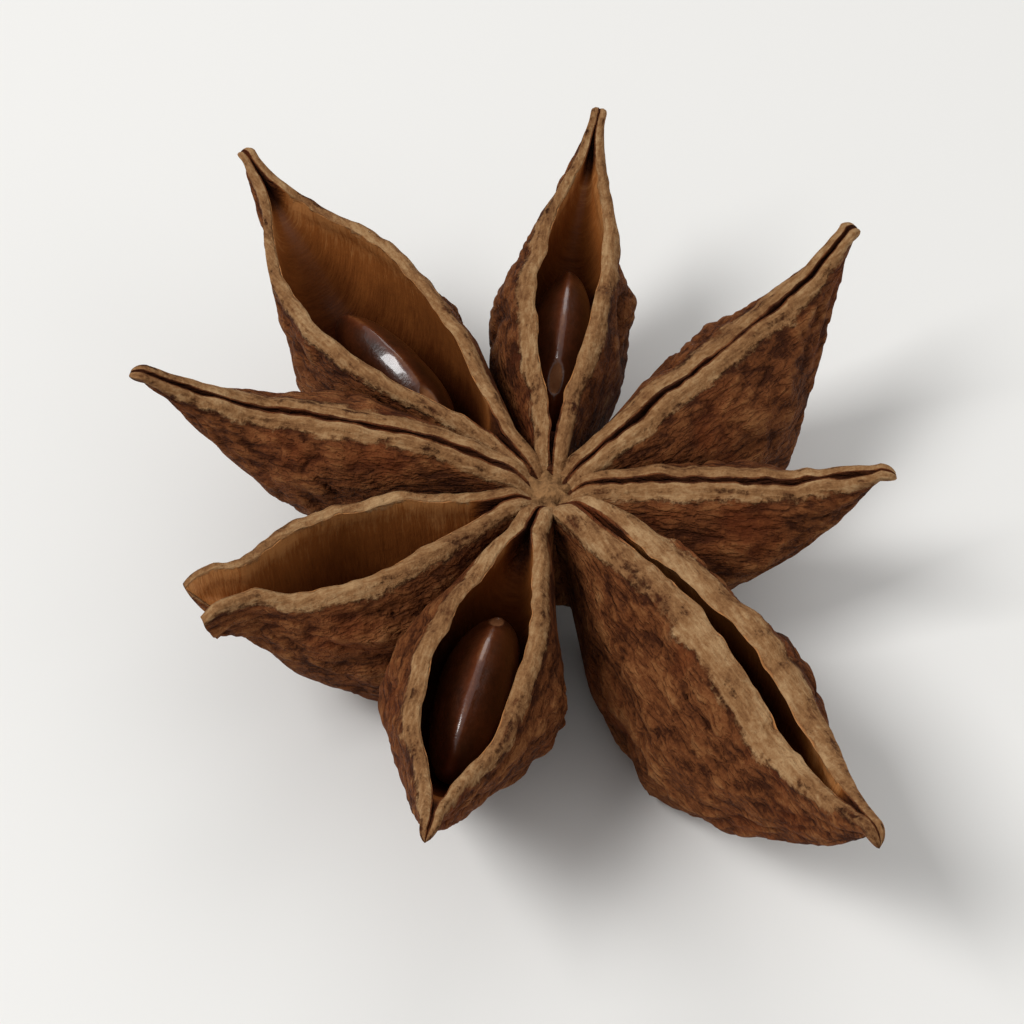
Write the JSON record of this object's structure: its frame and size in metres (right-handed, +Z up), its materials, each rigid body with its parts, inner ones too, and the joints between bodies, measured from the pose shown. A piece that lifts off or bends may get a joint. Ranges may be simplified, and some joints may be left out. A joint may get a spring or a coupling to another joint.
{
  "type": "star anise pod",
  "caption": "Dried star-shaped spice fruit of woody boat-shaped follicles round a short column, some split along the seam to show glossy brown seeds, with a stub of stalk below.",
  "frame": {"origin": "under the middle of the bounding box, on the surface that the fruit rests on", "axes": "+Z up along the column towards the seams, +Y along the star's longest spread, +X to the right"},
  "size_m": [0.0224, 0.028, 0.0083],
  "materials": {
    "husk": "matte, wrinkled reddish brown with paler tan seams",
    "seed": "smooth glossy chestnut brown"
  },
  "bodies": {
    "root": {"husk": "husk", "seed_1": "seed", "seed_2": "seed", "seed_3": "seed"}
  },
  "joints": []
}
